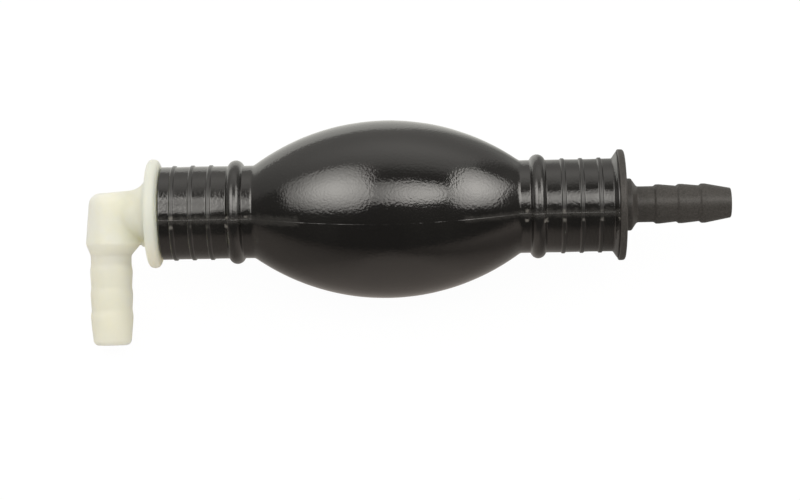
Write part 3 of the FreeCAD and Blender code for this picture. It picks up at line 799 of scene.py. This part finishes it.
def elbowSolid(size, x, y, z):
    # the outlines run past the axis, so that no distance is measured to the axis itself
    past = size["past"]
    mouth = valveRoom(size)[0]
    face = size["neckEnd"] + size["flangeCone"] + size["flangeRim"]
    outFromBulb = np.hypot(y, z)
    flange = roundedOutline([(mouth, -past)] + spigotCorners(size)[::-1] + [
        (size["neckEnd"], size["neckRadius"]),
        (size["neckEnd"] + size["flangeCone"], size["flangeRadius"], size["flangeRound"]),
        (face, size["flangeRadius"], size["flangeRound"]),
        (face, -past)])
    sunk = face - size["stubSunk"]
    stub = [(sunk, -past), (sunk, size["stubFoot"]), (size["kneeOffset"], size["stubEnd"]),
            (size["kneeOffset"], -past)]
    upward = np.clip((y / size["blendTurn"] + 1) / 2, 0, 1)
    blend = size["blendBelow"] + (size["blendAbove"] - size["blendBelow"]) * upward
    body = blendedUnion(outlineDistance(-x, outFromBulb, flange),
                        outlineDistance(-x, outFromBulb, stub), blend)

    # the knee's centre line moves out to the tail's over the sloping shoulder
    foot = size["kneeDrop"] + size["kneeSlope"]
    centre = -size["kneeOffset"] - size["tailShift"] * np.clip(
        (-y - size["kneeDrop"]) / size["kneeSlope"], 0, 1)
    root = size["crest"] - size["barb"]
    crown = size["kneeRadius"] - size["kneeDraft"]
    knee = [(-size["kneeCrown"], -past), (-size["kneeCrown"], crown, size["kneeRound"]),
            (size["kneeDrop"], size["kneeRadius"], size["kneeEdge"]),
            (foot, root, size["rootRound"])]
    knee += tailCorners(size) + [(size["reach"], -past)]
    body = blendedUnion(body, outlineDistance(-y, np.hypot(x - centre, z), roundedOutline(knee)),
                        size["kneeBlend"])

    # a small web fills the corner between the stub, the knee and the flange
    return blendedUnion(body, boxDistance((x, y, z), size["webAt"], size["webHalf"]),
                        size["webBlend"])


def elbowHollow(size, x, y, z):
    # the valve's chamber with the bore through the stub, and the bore down the tail
    past = size["past"]
    mouth, shoulder, chamber = valveRoom(size)
    tailX = -size["kneeOffset"] - size["tailShift"]
    top = size["crossRadius"] + size["boreCrown"]
    valveBore = outlineDistance(-x, np.hypot(y, z), [
        (mouth - past, -past), (mouth - past, chamber - size["lip"]),
        (mouth + size["lipLength"], chamber - size["lip"]), (mouth + size["lipLength"], chamber),
        (shoulder, chamber), (shoulder, size["crossRadius"]), (-tailX, size["crossRadius"]),
        (-tailX, -past)])
    tailBore = outlineDistance(-y, np.hypot(x - tailX, z), [
        (-top, -past), (-top, size["boreRadius"]),
        (size["reach"] + past, size["boreRadius"]), (size["reach"] + past, -past)])
    return np.minimum(valveBore, tailBore)


def makeElbow():
    size = elbowSizes
    cell = size["cell"]
    low, high = np.array(size["netLow"]), np.array(size["netHigh"])
    counts = np.ceil((high - low) / cell).astype(int) + 1
    grids = [start + np.arange(count) * cell for start, count in zip(low, counts)]
    net = np.meshgrid(*grids, indexing="ij")
    body = np.maximum(elbowSolid(size, *net), -elbowHollow(size, *net))
    vertices, faces = netOver(softened(body), low, cell)
    mesh = meshFrom(vertices, faces)
    mesh.materials.append(ivory)
    return placed("inlet_elbow_body", mesh)


elbow = makeElbow()
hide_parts("inlet_elbow")
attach(elbow, "pump_body")
print("elbow made")


# The valve springs, drawn at one length; the real ones shorten as their valves open.

springSizes = {
    "Start": 5.2, "Length": 6.0, "Mean Radius": 2.4, "Wire Radius": 0.22, "Turns": 5,
    "Closed Pitch": 0.55, "Turn Stations": 40, "Wire Sides": 12,
}
valveStarts = {"inlet": -48.1, "outlet": 35.5}


def makeSpringTree():
    tree, size = newGeometryTree("valveSpring", springSizes)
    turns = size["Turns"]
    line = addNode(tree, "GeometryNodeCurvePrimitiveLine")
    stations = addNode(tree, "GeometryNodeResampleCurve",
                       {"Curve": line.outputs[0], "Count": turns * size["Turn Stations"] + 1})
    along = Wire(tree, addNode(tree, "GeometryNodeSplineParameter").outputs["Factor"])
    turn = along * turns
    closed = size["Closed Pitch"]
    rise = size["Length"] - size["Wire Radius"] * 2
    openPitch = (rise - closed * 2) / (turns - 2)
    climb = (turn.under(1) * closed + (turn - 1).over(0).under(turns - 2) * openPitch
             + (turn - turns + 1).over(0) * closed)
    angle = turn * (2 * math.pi)
    spot = addNode(tree, "ShaderNodeCombineXYZ", {
        0: size["Start"] + size["Wire Radius"] + climb,
        1: size["Mean Radius"] * angle.calc("COSINE"),
        2: size["Mean Radius"] * angle.calc("SINE")})
    coil = addNode(tree, "GeometryNodeSetPosition",
                   {"Geometry": stations.outputs[0], "Position": spot.outputs[0]})
    section = addNode(tree, "GeometryNodeCurvePrimitiveCircle",
                      {"Resolution": size["Wire Sides"], "Radius": size["Wire Radius"]})
    wire = addNode(tree, "GeometryNodeCurveToMesh", {
        "Curve": coil.outputs[0], "Profile Curve": section.outputs[0], "Fill Caps": True})
    finishTree(tree, wire.outputs[0], size)
    return tree


springTree = makeSpringTree()
for end, start in valveStarts.items():
    sizes = dict(springSizes, Start=start + springSizes["Start"])
    spring = grownFromTree(f"{end}_spring_coil", springTree, sizes, springSteel)
    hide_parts(f"{end}_valve_spring")
    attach(spring, "pump_body")
    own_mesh(spring)
    for piece, material in (("valve_seat", acetal), ("valve_poppet", acetal),
                            ("poppet_seal", sealRubber), ("valve_cage", acetal)):
        node = frame["nodes"][f"{end}_{piece}"]
        node.data.materials.clear()
        node.data.materials.append(material)
print("valves finished")


# The table, the studio and the camera.

studio = {
    # windows of light in degrees, seen from the bulb: over from the camera's side to the back, and
    # across from left to right; each is brightest at its glow and ends at its frame
    "windows": [
        {"light": 3.3, "glow": (28.5, -26), "fade": (19.5, 15.5),
         "middle": (30, -31), "half": (32, 23)},
        {"light": 3.5, "glow": (36, 44), "fade": (24.5, 13),
         "middle": (38, 46), "half": (38.5, 14)},
        {"light": 3.0, "glow": (19, 19), "fade": (12.5, 17),
         "middle": (21, 9.5), "half": (15, 21)},
    ],
    "frameEdge": (0.65, 1.45, 1, 0), "lightColour": (1, 0.97, 0.92, 1),
    "wallGlow": {"light": 0.26, "glow": (84, 9), "fade": (13, 24),
                 "middle": (84, 0), "half": (70, 300)},
    "wall": 0.31, "wallFoot": (46, 62, 0, 1), "wallLeft": (-62, -30, 0.5, 1),
    "wallRight": (32, 40, 1, 0.2), "room": (-30, 40, 0.05, 0.1), "softened": 0.33, "fill": 0.47,
    # the table as it looks, and the painted reflection of it that the pump mirrors, with painted
    # shade in front and to the right; along X and Y in metres
    "tableHalf": 3.0, "tableMatte": (0.8, 0.8, 0.8, 1), "tableShade": 0.04, "tableGlow": 0.972,
    "tableBehind": (1.0, 0.99, 0.93), "tableInFront": (0.38, 0.335, 0.30),
    "inFront": (-0.02, 0.05, 1, 0), "dimRight": (0.018, 0.05, 1, 0.42),
    "farRight": (0.06, 0.14, 0, 0.4), "farOnly": (0.08, 0.2, 1, 0),
    "dimLeft": (-0.045, -0.018, 0.62, 1), "dimFar": (-0.3, -0.04, 0.5, 1),
}


def seenDirectly(tree, path):
    # one where the camera sees it, also through something clear
    return Wire(tree, path.outputs["Is Camera Ray"]).over(path.outputs["Is Transmission Ray"])


def makeTable():
    material = bpy.data.materials.new("paleTable")
    material.use_nodes = True
    material.cycles.emission_sampling = "NONE"
    tree = material.node_tree
    tree.nodes.clear()
    path = addNode(tree, "ShaderNodeLightPath")
    matte = addNode(tree, "ShaderNodeBsdfDiffuse", {"Color": studio["tableMatte"]})
    # to the camera it is white, with a faint shadow
    shade = studio["tableShade"]
    faint = addNode(tree, "ShaderNodeBsdfDiffuse", {"Color": (shade, shade, shade, 1)})
    glow = addNode(tree, "ShaderNodeEmission", {"Strength": studio["tableGlow"]})
    shown = addNode(tree, "ShaderNodeAddShader", {0: faint.outputs[0], 1: glow.outputs[0]})
    # a painted reflection: to glossy rays the table glows, pale behind the pump and painted darker
    # in front of it and to its right, as painted shade
    where = addNode(tree, "ShaderNodeTexCoord")
    spot = addNode(tree, "ShaderNodeSeparateXYZ", {0: where.outputs["Object"]})
    side, depth = Wire(tree, spot.outputs[0]), Wire(tree, spot.outputs[1])
    inFront = depth.ramp(*studio["inFront"])
    tone = mixColour(tree, inFront, studio["tableBehind"], studio["tableInFront"])
    frontDim = side.ramp(*studio["dimLeft"]) * depth.ramp(*studio["dimFar"])
    rightDim = side.ramp(*studio["dimRight"])
    rightDim = rightDim + side.ramp(*studio["farRight"]) * depth.ramp(*studio["farOnly"])
    paintedShade = rightDim * (inFront * (frontDim - 1) + 1)
    paintedReflection = addNode(tree, "ShaderNodeEmission", {"Color": tone, "Strength": paintedShade})
    choice = addNode(tree, "ShaderNodeMixShader", {
        0: path.outputs["Is Glossy Ray"], 1: matte.outputs[0], 2: paintedReflection.outputs[0]})
    surface = addNode(tree, "ShaderNodeMixShader", {
        0: seenDirectly(tree, path), 1: choice.outputs[0], 2: shown.outputs[0]})
    addNode(tree, "ShaderNodeOutputMaterial", {"Surface": surface.outputs[0]})
    half = studio["tableHalf"]
    mesh = bpy.data.meshes.new("table")
    mesh.from_pydata([(-half, -half, 0), (half, -half, 0), (half, half, 0), (-half, half, 0)],
                     [], [(0, 1, 2, 3)])
    mesh.materials.append(material)
    table = bpy.data.objects.new("table", mesh)
    bpy.context.scene.collection.objects.link(table)


def windowLight(over, across, window):
    def spread(middle, reach, power):
        upDown = ((over - middle[0]) / reach[0]).size().calc("POWER", power)
        return upDown + ((across - middle[1]) / reach[1]).size().calc("POWER", power)

    glow = (spread(window["glow"], window["fade"], 2) * -0.5).calc("EXPONENT")
    rounded = spread(window["middle"], window["half"], 4)
    return glow * rounded.ramp(*studio["frameEdge"], smooth=True) * window["light"]


def makeWorld():
    world = bpy.data.worlds.new("studio")
    bpy.context.scene.world = world
    world.use_nodes = True
    tree = world.node_tree
    tree.nodes.clear()
    way = addNode(tree, "ShaderNodeTexCoord")
    turned = addNode(tree, "ShaderNodeVectorRotate",
                     {"Vector": way.outputs["Generated"], "Angle": -lean},
                     rotation_type="X_AXIS")
    part = addNode(tree, "ShaderNodeSeparateXYZ", {0: turned.outputs[0]})
    x, y, z = (Wire(tree, output) for output in part.outputs)
    over = y.calc("ARCTAN2", z) * math.degrees(1)
    across = x.calc("ARCSINE") * math.degrees(1)
    light = over.ramp(*studio["room"])
    for window in studio["windows"]:
        light = light + windowLight(over, across, window)
    wall = over.ramp(*studio["wallFoot"]) * studio["wall"]
    wall = wall + windowLight(over, across, studio["wallGlow"])
    light = light + wall * across.ramp(*studio["wallLeft"]) * across.ramp(*studio["wallRight"])
    path = addNode(tree, "ShaderNodeLightPath")
    # matt surfaces see the windows softened and the room filled
    matt = -Wire(tree, path.outputs["Is Glossy Ray"]) + 1
    light = light * (-matt * studio["softened"] + 1) + matt * studio["fill"]
    room = addNode(tree, "ShaderNodeBackground",
                   {"Strength": light, "Color": studio["lightColour"]})
    white = addNode(tree, "ShaderNodeBackground", {"Strength": 1})
    choice = addNode(tree, "ShaderNodeMixShader", {
        0: seenDirectly(tree, path), 1: room.outputs[0], 2: white.outputs[0]})
    addNode(tree, "ShaderNodeOutputWorld", {"Surface": choice.outputs[0]})


# Places are in the pump's own millimetres, and the roll is in degrees.
cameraPlace = {
    "from": (14.8, -9.6, 562), "towards": (2.85, -9.6, 0), "roll": 1.1, "lens": 108.0,
    "sensor": 36, "nearest": 0.01,
}


def makeCamera():
    spot = Vector(cameraPlace["from"])
    view = spot - Vector(cameraPlace["towards"])
    right = Vector((0, 1, 0)).cross(view).normalized()
    up = view.cross(right).normalized()
    axes = Matrix((right, up, view.normalized())).transposed().to_4x4()
    place = Matrix.Rotation(lean, 4, "X") @ axes @ Matrix.Rotation(
        math.radians(-cameraPlace["roll"]), 4, "Z")
    place.translation = pumpPlace @ spot
    data = bpy.data.cameras.new("camera")
    data.lens = cameraPlace["lens"]
    data.sensor_width = cameraPlace["sensor"]
    data.clip_start = cameraPlace["nearest"]
    camera = bpy.data.objects.new("camera", data)
    bpy.context.scene.collection.objects.link(camera)
    camera.matrix_world = place
    bpy.context.scene.camera = camera


makeTable()
makeWorld()
makeCamera()
bpy.context.scene.view_settings.view_transform = "Standard"
print("studio set up")
